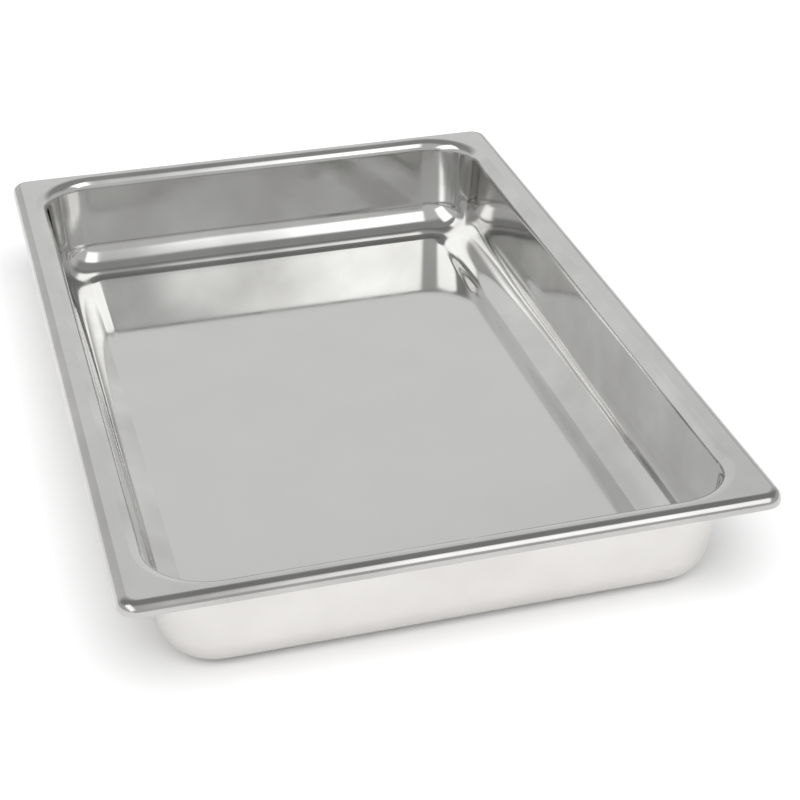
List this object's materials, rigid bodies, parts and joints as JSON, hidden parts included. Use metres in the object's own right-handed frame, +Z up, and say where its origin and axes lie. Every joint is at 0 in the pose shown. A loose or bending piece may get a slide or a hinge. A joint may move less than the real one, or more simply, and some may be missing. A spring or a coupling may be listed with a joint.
{
  "type": "deli food pan",
  "caption": "Shallow rectangular stainless food pan with a flat floor, rounded floor fillets, drafted walls and a narrow flange rolled down to a short lip.",
  "frame": {"origin": "middle of the floor's underside, on the surface that the pan stands on", "axes": "+X across the width, +Y along the length, +Z up out of the opening"},
  "size_m": [0.305, 0.457, 0.057],
  "materials": {
    "stainless": "polished inside and on the flange, satin on the outside of the walls and floor"
  },
  "bodies": {
    "root": {"pan": "stainless"}
  },
  "joints": []
}
